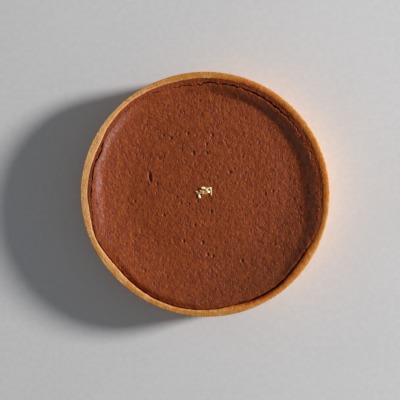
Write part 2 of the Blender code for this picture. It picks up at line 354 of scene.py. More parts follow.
def slope_height(points, angle, past_crack):
    """The middle, changing to the lip over the last few millimetres before the crack."""
    share = np.clip(1.0 - past_crack / slope_width(angle), 0.0, 1.0)
    shape = ease(share ** reading(angle, TOP_ROWS, SLOPE_POWER))
    return middle_height(points) + MM * reading(angle, TOP_ROWS, SLOPE_RISE) * shape


for degrees in (20, 180, 270):
    place = np.radians([float(degrees)])
    height = slope_height(polar(82.0 * MM, place, 0.0), place, 0.0)[0]
    print(f"at {degrees} degrees the lip is {height / MM:.1f} mm high")

# %% [markdown]
# ## The crack
#
# Where the filling stayed stuck to the pastry, the sinking skin tore in a jagged ring and left
# a collar behind. A tear runs straight for a few millimetres and then turns sharply, so smooth
# noise would make it look like a wave. Random corners joined by straight lines look torn. They
# are drawn once, with a fixed seed. The corners are smaller where the crack runs close to the
# pastry. Where it is nearly closed, it breaks up into dashes.

# %% The jagged line
CRACK_ROWS = (
    # azimuth, distance in from the pastry and half the crack's width (mm), share let go
    (0, 2.2, -0.15, 0.0),
    (15, 2.4, -0.12, 0.0),
    (28, 2.6, 0.10, 0.0),
    (42, 2.5, 0.42, 0.0),
    (60, 2.5, 0.52, 0.0),
    (72, 2.5, 0.46, 0.0),
    (79, 2.6, 0.44, 0.0),
    (84, 3.1, 0.42, 0.0),
    (89, 2.9, 0.34, 0.0),
    (93.5, 4.2, 0.34, 0.0),
    (97, 4.4, 0.10, 0.0),
    (100, 3.2, 0.12, 0.0),
    (106, 3.4, 0.10, 0.0),
    (114, 2.8, -0.02, 0.0),
    (130, 2.0, -0.10, 0.0),
    (145, 2.2, -0.10, 0.0),
    (152, 1.4, 0.02, 0.0),
    (154, 1.2, 0.42, 0.0),
    (156.5, 2.1, 0.54, 0.0),
    (160, 2.3, 0.54, 0.0),
    (165, 1.8, 0.44, 0.0),
    (169, 1.5, 0.34, 0.0),
    (173, 1.6, 0.30, 0.0),
    (177, 1.7, 0.30, 0.0),
    (182, 1.5, 0.26, 0.0),
    (188, 1.4, 0.10, 0.1),
    (198, 0.7, 0.06, 0.7),
    (215, 0.7, 0.05, 1.0),
    (235, 0.6, 0.08, 1.0),
    (258, 0.6, 0.05, 1.0),
    (282, 0.6, 0.05, 1.0),
    (292, 0.7, 0.20, 1.0),
    (302, 0.8, 0.30, 1.0),
    (311, 0.8, 0.28, 1.0),
    (318, 0.9, 0.28, 1.0),
    (326, 0.9, 0.32, 0.9),
    (334, 1.1, 0.12, 0.6),
    (344, 1.6, -0.08, 0.2),
)
CRACK_INSET, CRACK_HALF, LET_GO = range(1, 4)
JAG_CORNERS = 190
JAG_SIZE = 0.58 * MM
JAG_ROOM = 2.2 * MM
SMALL_JAG_CORNERS = 520
SMALL_JAG_SIZE = 0.34 * MM
JAG_SEED = 5
LOOSE_CALM = 0.8
HALF_CORNERS = 250
HALF_CHANGE = 0.24 * MM
WIDEST_HALF = 0.72 * MM
LEAST_COLLAR = 0.1 * MM


def jagged(angle, seed, corners):
    """Straight lines between random corners, from -1 to 1, closed after one turn."""
    heights = np.random.default_rng(seed).uniform(-1.0, 1.0, corners)
    heights = np.append(heights, heights[0])
    places = (angle % (2.0 * math.pi)) * corners / (2.0 * math.pi)
    return np.interp(places, np.arange(corners + 1), heights)


def let_go_share(angle):
    return np.clip(reading(angle, CRACK_ROWS, LET_GO), 0.0, 1.0)


def mean_inset(angle):
    return MM * reading(angle, CRACK_ROWS, CRACK_INSET)


def crack_inset(angle):
    large = JAG_SIZE * jagged(angle, JAG_SEED, JAG_CORNERS)
    small = SMALL_JAG_SIZE * jagged(angle, JAG_SEED + 3, SMALL_JAG_CORNERS)
    room = np.minimum(mean_inset(angle) / JAG_ROOM, 1.0) ** 2
    room *= 1.0 - LOOSE_CALM * let_go_share(angle)
    return mean_inset(angle) + room * (large + small)


def crack_half(angle):
    half = MM * reading(angle, CRACK_ROWS, CRACK_HALF)
    half += HALF_CHANGE * jagged(angle, JAG_SEED + 1, HALF_CORNERS)
    return np.clip(np.minimum(half, crack_inset(angle) - LEAST_COLLAR), 0.0, WIDEST_HALF)


def filling_edge(angle):
    return pastry_inside(angle) - FIT_GAP


print(f"crack: {crack_inset(turn).min() / MM:.1f} to {crack_inset(turn).max() / MM:.1f} mm in")

# %% [markdown]
# ## The filling's rings
#
# The rings are close together where the surface turns sharply: at the crack's two lips, its
# walls and its bottom. The rings in the crack have twice the points, so its corners stay
# sharp. The collar outside the crack climbs to the pastry and laps a little over its inner
# corner. It sagged where the oven was hot.

# %% Lay out the filling's rings
MIDDLE_RINGS = 136
SLOPE_RINGS = 18
SLOPE_POINTS = 840
CRACK_POINTS = 1680
COLLAR_RINGS = 5
CRACK_DEPTH = 2.2 * MM
# across the crack from the middle of the cake outward: place in half widths, share of the depth
CRACK_SECTION = ((1.0, 0.0), (0.75, 0.6), (0.2, 1.0), (-0.3, 1.0), (-0.8, 0.6), (-1.0, 0.0))
OPEN_HALF = 0.35 * MM
COLLAR_TOP = 29.2 * MM
COLLAR_BEND = 0.8
HOT_SAG = 0.50 * MM
EDGE_DIP = 0.15 * MM
FALLEN_DROP = 0.5 * MM
STUCK_OVERLAP = 0.5 * MM
TORN_SIZE = 0.22 * MM
UNDERSIDE_WALL = (19.0 * MM, 12.0 * MM)


def collar_height(angle, to_pastry):
    """The torn collar climbs the pastry. Where the filling let go, its edge hangs down."""
    edge, inset, at_lip = filling_edge(angle), mean_inset(angle), 0.0 * angle
    lip = slope_height(polar(edge - inset, angle, 0.0), angle, at_lip)
    top = np.maximum(COLLAR_TOP - HOT_SAG * hot(angle), lip)
    stuck = top + (lip - top) * np.clip(to_pastry / inset, 0.0, 1.0) ** COLLAR_BEND
    fallen = slope_height(polar(edge - to_pastry, angle, 0.0), angle, at_lip) - FALLEN_DROP
    return stuck + (fallen - stuck) * ease(let_go_share(angle))


def middle_rings():
    rings = []
    for number in range(MIDDLE_RINGS):
        angle = ring_angles(max(1, 6 * number))
        foot = filling_edge(angle) - mean_inset(angle) - slope_width(angle)
        ring = polar(foot * number / MIDDLE_RINGS, angle, 0.0)
        ring[:, 2] = middle_height(ring)
        rings.append(ring)
    return rings


def slope_rings():
    angle = ring_angles(SLOPE_POINTS)
    mean_lip = filling_edge(angle) - mean_inset(angle)
    foot = mean_lip - slope_width(angle)
    lip = filling_edge(angle) - crack_inset(angle) - crack_half(angle)
    rings = []
    for number in range(SLOPE_RINGS):
        radius = foot + (lip - foot) * number / SLOPE_RINGS
        ring = polar(radius, angle, 0.0)
        ring[:, 2] = slope_height(ring, angle, mean_lip - radius)
        rings.append(ring)
    return rings


def crack_rings():
    """Rings across the crack, with how open it is at each angle."""
    angle = ring_angles(CRACK_POINTS)
    edge, crack, half = filling_edge(angle), crack_inset(angle), crack_half(angle)
    opening = np.clip(half / OPEN_HALF, 0.0, 1.0)
    stuck = 1.0 - ease(let_go_share(angle))
    torn = stuck * TORN_SIZE * jagged(angle, JAG_SEED + 2, SMALL_JAG_CORNERS)
    rings = []
    for side, depth in CRACK_SECTION:
        ring = polar(edge - crack - side * half, angle, 0.0)
        top = slope_height(ring, angle, mean_inset(angle) - crack + side * half)
        if side < 0.0:
            collar = collar_height(angle, crack)
            raised = np.maximum(top, collar) + torn
            top = collar + (raised - collar) * stuck
        ring[:, 2] = top - CRACK_DEPTH * depth * opening
        rings.append(ring)
    return rings, opening


def collar_rings():
    angle = ring_angles(CRACK_POINTS)
    edge, start = filling_edge(angle), crack_inset(angle) - crack_half(angle)
    overlap = STUCK_OVERLAP * (1.0 - let_go_share(angle))
    rings = []
    for number in range(1, COLLAR_RINGS + 1):
        share = number / COLLAR_RINGS
        height = collar_height(angle, start * (1.0 - share)) - EDGE_DIP * (number == COLLAR_RINGS)
        rings.append(polar(edge - start * (1.0 - share) + overlap * share, angle, height))
    return rings


def filling_underside():
    angle = ring_angles(SLOPE_POINTS)
    bottom = FLOOR_THICKNESS + FIT_GAP
    wall = [polar(filling_edge(angle), angle, height) for height in (*UNDERSIDE_WALL, bottom)]
    return wall + disc_rings(filling_edge, bottom, (12, 60, 240), 320)[::-1]


inner_part = middle_rings()
slope_part = slope_rings()
crack_part, crack_opening = crack_rings()
collar_part = collar_rings()
filling_rings = inner_part + slope_part + crack_part + collar_part + filling_underside()
filling = skin("baked_filling", filling_rings)
slope_start = sum(len(ring) for ring in inner_part)
crack_start = slope_start + len(slope_part) * SLOPE_POINTS
collar_start = crack_start + len(crack_part) * CRACK_POINTS
top_count = collar_start + len(collar_part) * CRACK_POINTS
print(f"{top_count} points on the top of the filling")

# %% [markdown]
# ## Bubbles
#
# Air rises through the batter and bursts at the skin. Nearly two thousand small pores give
# the top its grain, and a few large ones read as dark dots with one bright edge. Some never
# burst, and stay as blisters. They could be bump in the material alone, but then they would
# vanish in a low view, so they are real dents. The largest are where the real cake has them.
# The rest are drawn with a fixed seed, thicker in some patches than in others. On the left
# side one long slit opened, which leans a little.

# %% Draw the bubbles
LARGE_BUBBLES = (
    # x and y in mm
    (0.7, 36.8), (1.0, 30.2), (-8.8, 30.2), (5.1, 43.4), (-33.9, 26.4), (-13.1, 44.6),
    (-30.9, 43.2), (-25.3, 41.3), (-52.0, -5.2), (-30.5, -15.3), (-18.0, -6.5), (-12.2, -7.1),
    (-5.9, -5.2), (4.2, -12.7), (18.0, 16.2), (8.4, 12.6), (-2.1, -35.5), (-16.0, -34.2),
    (1.7, -44.3), (5.5, -45.6), (51.0, -36.8), (34.5, -5.2), (-35.6, 7.4), (-2.8, -22.9),
    (-7.8, -22.9), (-21.0, -2.0), (44.0, 0.5), (49.5, 2.3), (-44.4, -56.0), (26.8, -48.7),
)
LARGE_RADIUS = (1.00 * MM, 1.40 * MM)
LARGE_DEPTH = (0.55 * MM, 0.90 * MM)
BUBBLE_COUNT = 2300
SMALL_RADIUS = (0.60 * MM, 1.00 * MM)
SMALL_DEPTH = (0.08 * MM, 0.34 * MM)
BUBBLE_FIELD = 76.0 * MM
BUBBLE_PATCH = 13.0 * MM
BUBBLE_STRETCH = 1.35
BUBBLE_SEED = 11
CROWDED = -0.2
LOT_SHARE = 0.35
BLISTER_SHARE = 0.20
BLISTER_RISE = 0.4
# x, y, half width, half length, depth, lean to the left
SLIT = (-40.8 * MM, 12.6 * MM, 1.5 * MM, 4.9 * MM, 1.6 * MM, math.radians(9.0))


def between(pair, share):
    return pair[0] + (pair[1] - pair[0]) * share


def draw_bubbles():
    """All bubbles, each given as the slit is. A blister's depth is below 0.

    A small one is kept where smooth noise, less a random lot, is above CROWDED.
    """
    draw = random.Random(BUBBLE_SEED)
    bubbles = [SLIT]
    for x, y in LARGE_BUBBLES:
        size = draw.random()
        radius = between(LARGE_RADIUS, size)
        half_length = BUBBLE_STRETCH * radius
        bubbles.append((x * MM, y * MM, radius, half_length, between(LARGE_DEPTH, size), 0.0))
    while len(bubbles) < BUBBLE_COUNT:
        x, y, lot = (draw.uniform(-1.0, 1.0) for _ in range(3))
        place = Vector((x, y, 0.0)) * BUBBLE_FIELD
        crowded = noise.noise(place / BUBBLE_PATCH) - LOT_SHARE * lot
        if place.length < BUBBLE_FIELD and crowded > CROWDED:
            size = draw.random() ** 2
            radius = between(SMALL_RADIUS, size)
            depth = between(SMALL_DEPTH, size)
            if draw.random() < BLISTER_SHARE:
                depth = -BLISTER_RISE * depth
            bubbles.append((place.x, place.y, radius, BUBBLE_STRETCH * radius, depth, 0.0))
    return bubbles


bubbles = draw_bubbles()
print(f"{len(bubbles)} bubbles, {sum(bubble[4] < 0.0 for bubble in bubbles)} of them blisters")

# %% [markdown]
# Each bubble is an oval dent with a low lip, and where two of them meet the deeper one wins.
# A k-d tree finds the points near a bubble quickly.

# %% Dent the top with them
BUBBLE_RIM = 1.35
BUBBLE_LIP = 0.12
DENT_POWER = 1.5

co = np.vstack(filling_rings)
tree = kdtree.KDTree(crack_start)
for number in range(crack_start):
    tree.insert((co[number, 0], co[number, 1], 0.0), number)
tree.balance()
dent = np.zeros(len(co))
for x, y, half_x, half_y, depth, lean in bubbles:
    straight, aside = math.cos(lean), math.sin(lean)
    for place, number, _ in tree.find_range((x, y, 0.0), BUBBLE_RIM * half_y):
        across = (place.x - x) * straight + (place.y - y) * aside
        along = (place.y - y) * straight - (place.x - x) * aside
        reach = math.hypot(across / half_x, along / half_y)
        bowl = depth * (1.0 - min(reach, 1.0) ** 2) ** DENT_POWER
        if depth > 0.0 and reach < 1.0:
            dent[number] = max(dent[number], bowl)
        elif dent[number] <= 0.0 and reach < BUBBLE_RIM:
            dent[number] = min(dent[number], bowl if depth < 0.0 else -BUBBLE_LIP * depth)
print(f"deepest dent {dent.max() / MM:.2f} mm, highest lip {-dent.min() / MM:.2f} mm")

# %% [markdown]
# The material has to know which points lie in the crack, on the collar or on smooth skin. The
# crack, the slit, the deepest bubbles and the gap where the filling let go are painted dark, as
# painted shade. The collar beside the pastry is painted darker on the hot side. A band of skin
# near the edge set smooth and shiny, most of all on the left. Noise breaks up its borders.

# %% Dark places and smooth skin
SMOOTH_ROWS = (
    # azimuth, how smooth the band of skin is, how far in from the pastry it lies in mm
    (0, 0.35, 7.2),
    (30, 0.40, 7.5),
    (55, 0.30, 7.2),
    (80, 0.0, 6.5),
    (118, 0.0, 5.4),
    (138, 0.65, 4.9),
    (150, 1.0, 4.6),
    (157, 1.0, 4.5),
    (167, 0.9, 5.2),
    (178, 0.7, 7.2),
    (200, 0.3, 7.2),
    (218, 0.0, 7.0),
    (300, 0.0, 6.0),
    (335, 0.25, 6.0),
)
SMOOTHNESS, BAND_INSET = range(1, 3)
SMOOTH_HALF = 2.8 * MM
SMOOTH_GAIN = 1.3
BLOTCHES = ((5.0 * MM, 0.65, 15.0), (1.6 * MM, 0.325, 17.0))
# Painted shade in the slit and the deepest dents, in the crack, and in the gap where the filling let go.
DARK_DENT = 0.6 * MM
SLIT_PAINTED_SHADE = 0.3
LOOSE_DARK = 0.5
OPEN_GAP = 0.3
GAP_PAINTED_SHADE = 0.35
HOT_COLLAR_DARKENING = 0.28
HOT_COLLAR_WIDTH = 2.2 * MM

all_angles, radii = angle_and_radius(co)
to_edge = filling_edge(all_angles) - radii
let_go = ease(let_go_share(all_angles))

in_crack, on_collar = np.zeros(len(co)), np.zeros(len(co))
# Painted shade: the crack's walls and bottom are marked darker the deeper they lie and the wider the
# crack is open.
for number, (side, depth) in enumerate(CRACK_SECTION):
    part = slice(crack_start + number * CRACK_POINTS, crack_start + (number + 1) * CRACK_POINTS)
    in_crack[part] = depth * crack_opening
    on_collar[part] = 0.0 if side > 0.0 else 1.0
on_collar[collar_start:top_count] = 1.0
# Painted shade along the gap where the filling let go of the pastry.
gap_painted_shade = GAP_PAINTED_SHADE * let_go * ease(reading(all_angles, CRACK_ROWS, CRACK_HALF) / OPEN_GAP)
in_crack = np.maximum(in_crack * (1.0 - LOOSE_DARK * let_go), gap_painted_shade * on_collar)
# Painted shade in the slit and the deepest bubbles.
in_crack = np.maximum(in_crack, SLIT_PAINTED_SHADE * ease((dent - DARK_DENT) / DARK_DENT))
# The collar is painted darker on the hot side, most at the pastry and fading over about 2 mm.
hot_collar_darkening = HOT_COLLAR_DARKENING * hot(all_angles) * ease(1.0 - to_edge / HOT_COLLAR_WIDTH)
in_crack = np.maximum(in_crack, hot_collar_darkening * on_collar)

off_band = np.abs(to_edge - MM * reading(all_angles, SMOOTH_ROWS, BAND_INSET)) / SMOOTH_HALF
off_band += uneven(co, BLOTCHES)
smooth_skin = reading(all_angles, SMOOTH_ROWS, SMOOTHNESS) * ease(SMOOTH_GAIN * (1.0 - off_band))
smooth_skin = np.clip(smooth_skin * (1.0 - on_collar), 0.0, 1.0)
print(f"smooth skin on {np.mean(smooth_skin[:crack_start] > 0.5):.0%} of the points")

# %% [markdown]
# The skin itself is wrinkled like fine leather. Three noises, with bumps of about 5, 2 and
# 1 mm, catch the low light. The torn collar outside the crack is coarser, and the smooth skin
# is calmer. At the pastry the surface stays where it is, so no gap opens.

# %% Wrinkle the skin and keep what the material reads
WRINKLES = ((5.0 * MM, 0.15 * MM, 3.0), (2.2 * MM, 0.175 * MM, 5.0), (1.15 * MM, 0.115 * MM, 7.0))
TORN_GRAIN = ((1.4 * MM, 0.13 * MM, 9.0),)
SMOOTH_CALM = 0.45
SMOOTH_FILLED = 0.6
STILL_EDGE = 0.4 * MM
DEEP_DENT = 0.3 * MM
DARK_SIDE = 315.0

lift = uneven(co, WRINKLES) * (1.0 - in_crack) * (1.0 - SMOOTH_CALM * smooth_skin)
lift += uneven(co, TORN_GRAIN) * on_collar * (1.0 - let_go)
pits = dent * (1.0 - SMOOTH_FILLED * smooth_skin)
lift = (lift - pits) * ease(to_edge / STILL_EDGE + 1.0)
lift[top_count:] = 0.0
co[:, 2] += lift
move_points(filling, co)

# The top is made darker toward the lower right, more so out toward the edge.
away = np.cos(turn_from(all_angles, DARK_SIDE)) * np.clip(radii / BOWL_END, 0.0, 1.0) ** 2
store(filling, "in_crack", in_crack)
store(filling, "on_collar", on_collar)
store(filling, "smooth_skin", smooth_skin)
store(filling, "in_bubble", np.clip(pits / DEEP_DENT, 0.0, 1.0))
store(filling, "toward_dark_side", np.clip(0.5 + 0.5 * away, 0.0, 1.0))
print(f"top of the filling: {co[:top_count, 2].min() / MM:.1f} to {co[:top_count, 2].max() / MM:.1f} mm")

# %% [markdown]
# ## The pastry shell
#
# Shortcrust is pressed into a ring and its top is cut off level with a knife. The cut edge
# is flat. Its inner corner is soft and a little wavy, because there the filling pulled at it.
# On the oven's hot side both corners slumped. The same kind of rings make it: floor, inner
# wall, rim, outer wall and underside, in one closed skin.

# %% Lay out the pastry's rings
RIM_POINTS = 960
# width and height of a rounded corner
INNER_ROUNDING = (1.6 * MM, 0.38 * MM)
OUTER_CRISP = (0.40 * MM, 0.35 * MM)
OUTER_SLUMPED = (2.80 * MM, 0.60 * MM)
INNER_SLUMP = 0.75 * MM
RIM_SLUMP = 0.30 * MM
HOT_CORNER = 0.35
FOOT_ROUNDING = 2.2 * MM
RIM_STATIONS = 17
SIDE_RINGS = 30
RIM_UNEVENNESS = 0.20 * MM
SIDE_UNEVENNESS = 0.35 * MM
# azimuth, depth
RIM_NICKS = ((-58.5, 0.45 * MM), (201.0, 0.35 * MM), (259.8, 0.45 * MM))
NICK_HALF_ANGLE = 0.02
SIDE_TOP = RIM_HEIGHT - 1.2 * MM
INNER_WAVES = ((6.0 * MM, 0.22 * MM, 21.0), (2.6 * MM, 0.20 * MM, 5.0))
HIDDEN_WALL = (FLOOR_THICKNESS, 16.0 * MM)
WAVY_WALL = (22.0 * MM, 26.0 * MM, 28.0 * MM)


def corner_drop(distance, width, height):
    """How far a rounded corner lies below the flat, this far in from its side."""
    share = np.clip(1.0 - distance / width, 0.0, 1.0)
    return height * (1.0 - np.sqrt(1.0 - share * share))


def wavy_inside(angle):
    return pastry_inside(angle) + uneven(polar(CAKE_RADIUS, angle, 0.0), INNER_WAVES)


def rim_rings(angle):
    """Rings over the cut top of the pastry, from its inner corner to its outer corner."""
    inside, outside = wavy_inside(angle), pastry_outside(angle)
    for centre, depth in RIM_NICKS:
        outside = outside - depth * ease(1.0 - np.abs(turn_from(angle, centre)) / NICK_HALF_ANGLE)
    wall = outside - inside
    slumped = hot(angle)
    outer_width = between((OUTER_CRISP[0], OUTER_SLUMPED[0]), slumped)
    outer_height = between((OUTER_CRISP[1], OUTER_SLUMPED[1]), slumped)
    rings = []
    for share in 0.5 - 0.5 * np.cos(np.linspace(0.0, math.pi, RIM_STATIONS)):
        ring = polar(inside + share * wall, angle, RIM_HEIGHT)
        ring[:, 2] -= corner_drop(share * wall, *INNER_ROUNDING) * (1.0 - (1.0 - HOT_CORNER) * slumped)
        ring[:, 2] -= RIM_SLUMP * slumped + INNER_SLUMP * slumped * (1.0 - share) ** 2
        ring[:, 2] -= corner_drop((1.0 - share) * wall, outer_width, outer_height)
        rings.append(ring)
    return rings


def side_rings(angle):
    rings = []
    for height in np.linspace(SIDE_TOP, FOOT_ROUNDING, SIDE_RINGS):
        rings.append(polar(pastry_outside(angle), angle, height))
    for slant in np.radians((22.5, 45.0, 67.5, 90.0)):
        inset = FOOT_ROUNDING * (1.0 - math.cos(slant))
        rings.append(polar(pastry_outside(angle) - inset, angle, FOOT_ROUNDING * (1.0 - math.sin(slant))))
    return rings


angle = ring_angles(RIM_POINTS)
floor_rings = disc_rings(pastry_inside, FLOOR_THICKNESS, (24, 96, 240), 252)
inner_wall = [polar(pastry_inside(angle), angle, height) for height in HIDDEN_WALL]
inner_wall += [polar(wavy_inside(angle), angle, height) for height in WAVY_WALL]
rim = rim_rings(angle)
sides = side_rings(angle)
base_rings = disc_rings(pastry_outside, 0.0, (24, 72, 168, 300, 480), 504)[::-1]
pastry_rings = floor_rings + inner_wall + rim + sides + base_rings
pastry = skin("baked_pastry_shell", pastry_rings)

# %% [markdown]
# The crumb of the pastry is the sum of three noises: long waves from the hand that pressed
# it, grains of about 2 mm, and crumbs under 1 mm. The cut top is much smoother than the side.
# The underside is left flat, because the cake stands on it.

# %% Crumb on the pastry
CRUMBS = ((2.4 * MM, 0.10 * MM, 2.0), (0.9 * MM, 0.06 * MM, 4.0))
RIM_WAVE = 16.0 * MM
SIDE_WAVE = 14.0 * MM
RIM_CRUMB = 0.8
SIDE_WAVES_END = 27.0 * MM
SIDE_WAVES_FADE = 6.0 * MM

before_rim = sum(len(ring) for ring in floor_rings + inner_wall)
before_sides = before_rim + len(rim) * RIM_POINTS
before_base = before_sides + len(sides) * RIM_POINTS

places = np.vstack(pastry_rings)
crumb = uneven(places, CRUMBS)
outward = places.copy()
outward[:, 2] = 0.0
outward /= np.maximum(np.linalg.norm(outward, axis=1), 1e-9)[:, None]

rim_part = slice(before_rim, before_sides)
side_part = slice(before_sides, before_base - RIM_POINTS)
waviness = RIM_UNEVENNESS * (rough(places[rim_part], RIM_WAVE) - 1.0)
places[rim_part, 2] += waviness + RIM_CRUMB * crumb[rim_part]
side_push = SIDE_UNEVENNESS * rough(places[side_part], SIDE_WAVE)
side_push *= ease((SIDE_WAVES_END - places[side_part, 2]) / SIDE_WAVES_FADE)
places[side_part] += outward[side_part] * (side_push + crumb[side_part])[:, None]
move_points(pastry, places)
print(f"rim top at {places[rim_part, 2].max() / MM:.2f} mm")

# %% [markdown]
# ## Where the pastry browned
#
# The oven's hot side and the boiling filling browned the pastry unevenly. How brown a point
# is depends on where it is, so it is worked out here once, with noise to break up the borders,
# and kept on the mesh for the material. The table says how gold the rim is all over, and how
# far in from the outer edge the caramel starts and is at its darkest. Caramel also ran out in
# short streaks, which are noise that is stretched across the rim. The inner wall is dark with
# what the filling left on it.

# %% Browning of the rim
BAKE_ROWS = (
    # azimuth, gold of the rim, where the caramel starts and where it is burnt (mm from outside)
    (0, 0.82, 0.7, 6.0),
    (14, 0.92, 0.3, 5.8),
    (30, 0.80, 1.1, 6.2),
    (45, 0.80, 1.0, 5.7),
    (60, 0.85, 0.7, 5.0),
    (76, 0.90, 1.0, 5.3),
    (85, 0.95, 2.8, 6.2),
    (95, 0.95, 4.0, 6.5),
    (105, 0.90, 4.0, 6.5),
    (120, 0.45, 3.6, 6.2),
    (148, 0.05, 5.5, 8.5),
    (180, 0.25, 7.0, 10.0),
    (205, 0.50, 7.0, 10.0),
    (235, 0.75, 6.0, 9.0),
    (262, 0.92, 6.0, 9.0),
    (280, 0.95, 4.0, 7.5),
    (300, 0.88, 1.0, 4.2),
    (312, 0.84, 1.1, 4.8),
    (325, 0.78, 1.6, 6.0),
    (345, 0.78, 1.1, 6.0),
)
GOLD, CARAMEL_START, CARAMEL_BURNT = range(1, 4)
STREAKS_IN_A_TURN = 150.0
STREAK_REACH = 0.54
PATCH_REACH = 0.54
WIDE_GOLD = 0.35
PATCH_GOLD = 0.45
STREAK_GOLD = 0.15
PATCH_LENGTH = 3.2 * MM
WIDE_LENGTH = 9.0 * MM
LEAST_SPAN = 0.5
HOT_CALM = 0.6
EDGE_HIGHLIGHT = 0.35
EDGE_WIDTH = 1.3
INSIDE_HIGHLIGHT = 0.5
PALE_FROM = 2.0
PALE_OVER = 2.0
SIDE_GOLD = 0.42
SIDE_CHANGE = 0.3

place_angle, place_radius = angle_and_radius(places)
from_outside = (pastry_outside(place_angle) - place_radius) / MM
circle = np.column_stack((np.cos(place_angle), np.sin(place_angle), 0.0 * place_angle))
streaks = rough(circle * STREAKS_IN_A_TURN / (2.0 * math.pi), 1.0, 3.0)
patches = rough(places, PATCH_LENGTH, 6.0)
wide_patches = rough(places, WIDE_LENGTH, 12.0)
start = reading(place_angle, BAKE_ROWS, CARAMEL_START)
burnt = reading(place_angle, BAKE_ROWS, CARAMEL_BURNT)
pushed = from_outside + STREAK_REACH * streaks + PATCH_REACH * patches
caramel_share = (pushed - start) / np.maximum(burnt - start, LEAST_SPAN)
blotchy = 1.0 - HOT_CALM * hot(place_angle)
gold_share = reading(place_angle, BAKE_ROWS, GOLD) + WIDE_GOLD * wide_patches * blotchy
gold_share += PATCH_GOLD * patches * blotchy + STREAK_GOLD * streaks * hot(place_angle)
# Painted highlight: the outer edge on the hot side, which faces the window, is painted paler.
gold_share -= EDGE_HIGHLIGHT * hot(place_angle) * ease(EDGE_WIDTH - from_outside)
# Painted highlight: on the cool side, whose inner corner faces the window, the inner part of the rim is
# painted paler.
inside_highlight = INSIDE_HIGHLIGHT * (1.0 - hot(place_angle))
gold_share -= inside_highlight * ease((from_outside - PALE_FROM) / PALE_OVER)
off_top = np.ones(len(places))
off_top[rim_part] = 0.0
gold_share = gold_share * (1.0 - off_top) + off_top * (SIDE_GOLD + SIDE_CHANGE * wide_patches)
caramel_share[:before_rim] = 1.0
store(pastry, "gold", np.clip(gold_share, 0.0, 1.0))
store(pastry, "caramel", np.clip(caramel_share, 0.0, 1.0))
print(f"caramel on {np.mean(caramel_share[rim_part] > 0.5):.0%} of the rim")

# %% [markdown]
# ## The gold leaf
#
# Gold leaf is beaten so thin that a breath crumples it. A flake dropped on a cake lies in
# folds, torn at the edge and pierced by small holes. Its outline is described by lobes: a
# point is on the leaf if it is close enough to one of a few short lines and not in a tear.
# Each lobe also leans its own way, and the ones that lean to the window shine; their gold is
# also painted paler, as a painted highlight. A fine grid is cut to the outline, its edge is slid
# onto it, and noise folds the sheet. Solidify then gives the sheet its thickness, far more than
# the real leaf has, so that it can be seen.

# %% The outline of the leaf
LEAF_LOBES = (
    # the line's two ends and its radius in mm, how much the lobe leans, how much painted highlight its
    # gold gets
    (-2.2, 4.5, 1.0, 4.1, 0.85, 0.30, 1.0),
    (1.0, 4.1, 3.4, 4.5, 0.85, 0.30, 1.0),
    (1.0, 4.1, 0.6, 1.4, 0.95, 0.21, 0.4),
    (-3.1, 2.0, 0.6, 1.0, 1.15, 0.17, 0.0),
    (-1.6, 0.6, -0.3, 0.4, 0.95, 0.08, 0.0),
    (0.6, 1.4, 3.9, 2.0, 0.90, 0.30, 1.0),
    (3.9, 2.0, 4.3, -1.2, 0.40, 0.06, 0.3),
    (3.4, 4.5, 4.0, 2.2, 0.45, 0.00, 0.2),
    (-4.6, 0.6, -3.0, 1.2, 0.85, 0.12, 0.3),
    (-5.0, 0.4, -4.3, -2.4, 0.70, 0.30, 1.0),
    (-6.7, 2.0, -5.3, 0.3, 0.55, 0.20, 0.7),
)
LEAF_TEARS = (
    # the line's two ends and the tear's radius in mm
    (-1.2, 2.9, -0.5, 2.8, 0.45),
    (2.2, 3.1, 2.6, 3.0, 0.55),
    (-4.7, 1.9, -4.2, 1.5, 0.40),
)
RAGGED_EDGE = ((1.2, 0.28, 0.0), (0.4, 0.14, 6.0))
LEAF_REACH = 7.6
LEAF_STEP = 0.15
LOBE_LEAN, LOBE_HIGHLIGHT = 5, 6


def lobe_depth(points, lobe):
    """How deep each point, in millimetres, lies inside a lobe round a short line."""
    start, end, radius = np.array(lobe[0:2]), np.array(lobe[2:4]), lobe[4]
    along = end - start
    share = np.clip((points - start) @ along / (along @ along), 0.0, 1.0)
    return radius - np.linalg.norm(points - start - share[:, None] * along, axis=1)


def leaf_depth(points):
    """Above 0 on the leaf, below 0 off it."""
    on = np.max([lobe_depth(points, lobe) for lobe in LEAF_LOBES], axis=0)
    torn = np.max([lobe_depth(points, tear) for tear in LEAF_TEARS], axis=0)
    flat = np.column_stack((points, np.zeros(len(points))))
    return np.minimum(on, -torn) + uneven(flat, RAGGED_EDGE)


steps = np.arange(-LEAF_REACH, LEAF_REACH + LEAF_STEP, LEAF_STEP)
sheet = np.array([(x, y) for y in steps for x in steps])
depth = leaf_depth(sheet)
print(f"leaf covers {np.count_nonzero(depth > 0.0) * LEAF_STEP**2:.0f} square millimetres")

# %% Cut, fold and thicken the leaf
LEAF_LIFT = 0.55 * MM
FOLD_HEIGHT = 0.30 * MM
FOLD_LENGTH = 2.4 * MM
CREASE_HEIGHT = 0.14 * MM
CREASE_LENGTH = 0.9 * MM
LEAF_THICKNESS = 0.05 * MM
LOBE_BLEND = 0.25
LONGEST_SLIDE = 0.45 * LEAF_STEP
LEAST_STEEPNESS = 0.05
OUTSIDE_KEPT = 0.3 * LEAF_STEP
NUDGE = 0.02

slope_x = (leaf_depth(sheet + (NUDGE, 0.0)) - depth) / NUDGE
slope_y = (leaf_depth(sheet + (0.0, NUDGE)) - depth) / NUDGE
steepness = np.maximum(slope_x**2 + slope_y**2, LEAST_STEEPNESS)
toward = np.column_stack((slope_x, slope_y)) * (-depth / steepness)[:, None]
length = np.maximum(np.linalg.norm(toward, axis=1), 1e-9)
near_edge = np.abs(depth) < LEAF_STEP
sheet[near_edge] += (toward * np.minimum(1.0, LONGEST_SLIDE / length)[:, None])[near_edge]

